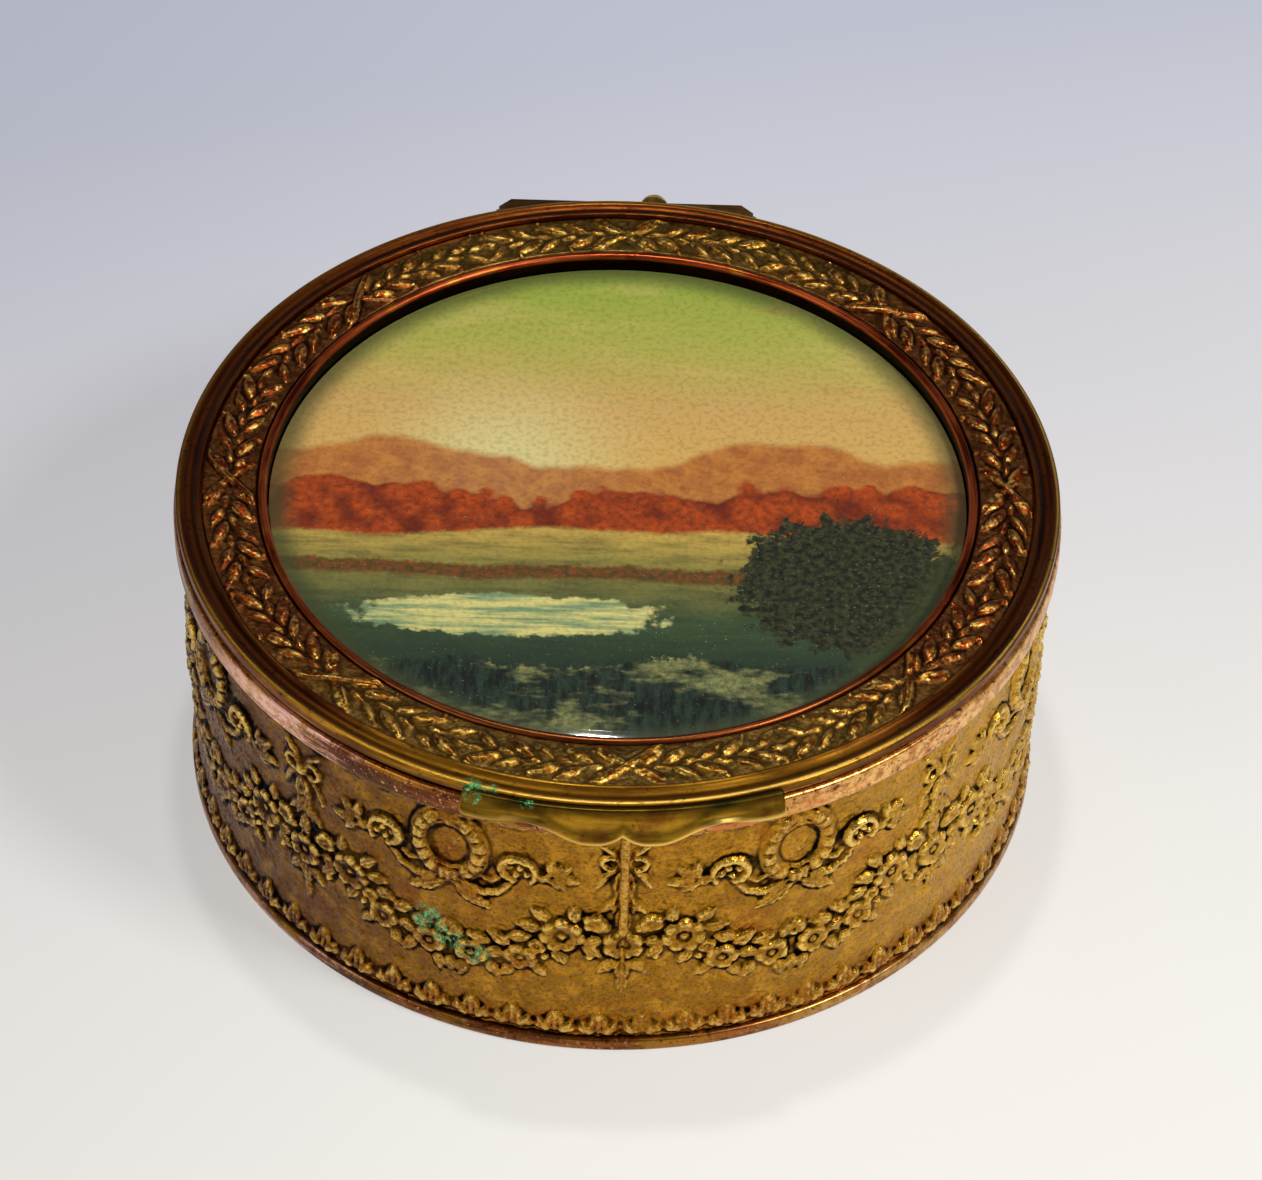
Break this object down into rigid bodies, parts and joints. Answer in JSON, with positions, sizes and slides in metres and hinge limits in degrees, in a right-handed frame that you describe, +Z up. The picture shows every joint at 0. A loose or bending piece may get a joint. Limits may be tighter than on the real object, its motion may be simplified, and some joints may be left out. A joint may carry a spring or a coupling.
{
  "type": "dresser box",
  "caption": "Round gilt brass dresser box with a hinged lid, a glazed picture framed by a laurel wreath, and a stamped festoon wall.",
  "frame": {"origin": "centre of the foot ring, on the surface the box stands on", "axes": "+Z up, -Y towards the thumb lift in front, +Y towards the hinge, +X to the right"},
  "size_m": [0.1046, 0.1086, 0.0423],
  "materials": {
    "gilt_brass": "old gilding, golden olive, dark in the hollows",
    "coppery_trim": "coppery where the gilding has worn off",
    "dark_brass": "dull brown patina",
    "glass": "clear, bevelled edge",
    "picture": "painted landscape, matt",
    "card": "grey-brown board",
    "velvet": "short pile",
    "silk": "silk over wadding"
  },
  "bodies": {
    "box_body": {"foot_ring": "coppery_trim", "base_plate": "dark_brass", "inner_drum": "dark_brass", "embossed_wall": "gilt_brass", "seam_strip": "gilt_brass", "body_rim": "coppery_trim", "lining_wall": "velvet", "lining_floor": "velvet", "hinge_leaf_body": "dark_brass", "hinge_pin": "dark_brass"},
    "lid": {"lid_rim": "gilt_brass", "wreath_band": "gilt_brass", "bezel_ring": "coppery_trim", "glass": "glass", "picture": "picture", "backing_card": "card", "lid_underplate": "dark_brass", "lid_pad": "silk", "thumb_lift": "gilt_brass", "hinge_leaf_lid": "dark_brass", "hinge_stud": "gilt_brass"}
  },
  "joints": [
    {"name": "lid_hinge", "type": "hinge", "parent": "box_body", "child": "lid", "pos_m": [0, 0.05365, 0.0376], "axis": [-1, 0, 0], "range_deg": [0, 100]}
  ]
}
